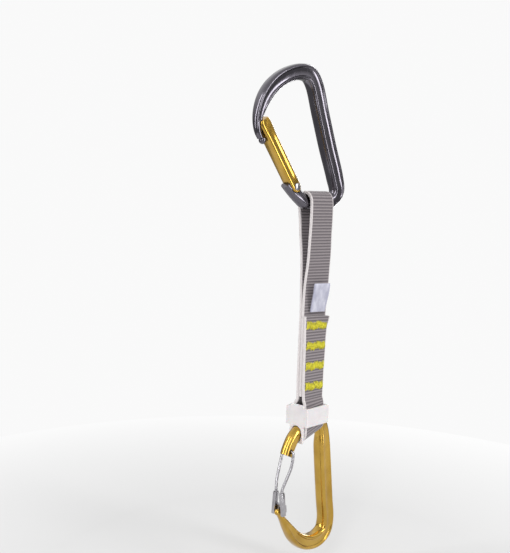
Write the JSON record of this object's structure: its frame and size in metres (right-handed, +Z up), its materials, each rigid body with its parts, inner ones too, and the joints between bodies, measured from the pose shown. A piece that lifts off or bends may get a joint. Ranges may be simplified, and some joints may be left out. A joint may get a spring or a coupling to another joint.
{
  "type": "climbing quickdraw",
  "caption": "Climbing quickdraw: solid-gate carabiner above a bar-tacked webbing sling, rubber keeper, and wire-gate carabiner below.",
  "frame": {"origin": "the point inside the top carabiner's wide end that rests on the anchor", "axes": "+Z up, +X from the gates towards the spines, +Y through the lower carabiner away from the near side"},
  "size_m": [0.0885, 0.0233, 0.3508],
  "materials": {
    "gunmetal": "polished and anodised dark grey",
    "gold_anodised": "bright gold anodised",
    "steel": "polished stainless steel",
    "webbing": "ribbed grey nylon web with white edges",
    "thread": "yellow-green bar tack thread",
    "tag_cloth": "woven white tag",
    "keeper_rubber": "matt white moulded rubber"
  },
  "bodies": {
    "top_carabiner": {"top_carabiner_frame": "gunmetal", "top_gate_rivet": "steel"},
    "solid_gate": {"top_gate": "gold_anodised"},
    "follower": {"top_gate_follower": "steel", "top_gate_spring": "steel"},
    "loose_loop": {"sling_upper_loop": "webbing"},
    "sewn_sling": {"sling_front_ply": "webbing", "sling_back_ply": "webbing", "sling_end_lap": "webbing", "sling_lower_loop": "webbing", "bar_tack_1": "thread", "bar_tack_2": "thread", "bar_tack_3": "thread", "bar_tack_4": "thread", "sling_label": "tag_cloth", "sling_keeper": "keeper_rubber"},
    "lower_carabiner": {"lower_carabiner_frame": "gold_anodised"},
    "wire_gate": {"lower_gate_wire_near": "steel", "lower_gate_wire_far": "steel", "lower_gate_yoke": "steel"}
  },
  "joints": [
    {"name": "solid_gate_hinge", "type": "hinge", "parent": "top_carabiner", "child": "solid_gate", "pos_m": [-0.0049, 0.00077, -0.07239], "axis": [0.1564, 0.9877, 0], "range_deg": [0, 38], "stiffness_Nm_per_rad": 0.12, "springref_deg": -20.05},
    {"name": "follower_slide", "type": "slide", "parent": "solid_gate", "child": "follower", "axis": [-0.5613, 0.0889, 0.8228], "range_m": [0, 0.0012], "deforming": ["top_gate_spring"]},
    {"name": "sling_swing", "type": "hinge", "parent": "top_carabiner", "child": "loose_loop", "pos_m": [0.01605, -0.00254, -0.08313], "axis": [0.9877, -0.1564, 0], "range_deg": [-75, 75]},
    {"name": "sling_flex", "type": "hinge", "parent": "loose_loop", "child": "sewn_sling", "pos_m": [0.0177, -0.00254, -0.1595], "axis": [0.9686, -0.2487, 0], "range_deg": [-25, 25], "deforming": ["sling_label"]},
    {"name": "lower_carabiner_rock", "type": "hinge", "parent": "sewn_sling", "child": "lower_carabiner", "pos_m": [0.01605, -0.00254, -0.24373], "axis": [0.9563, 0, 0.2924], "range_deg": [-6, 6], "stiffness_Nm_per_rad": 0.3},
    {"name": "wire_gate_hinge", "type": "hinge", "parent": "lower_carabiner", "child": "wire_gate", "pos_m": [-0.00405, -0.00254, -0.25808], "axis": [0, -1, 0], "range_deg": [0, 38], "stiffness_Nm_per_rad": 0.1, "springref_deg": -20.05}
  ],
  "couplings": [
    {"joint": "follower_slide", "follows": "solid_gate_hinge", "m_per_rad": 0.0015}
  ]
}
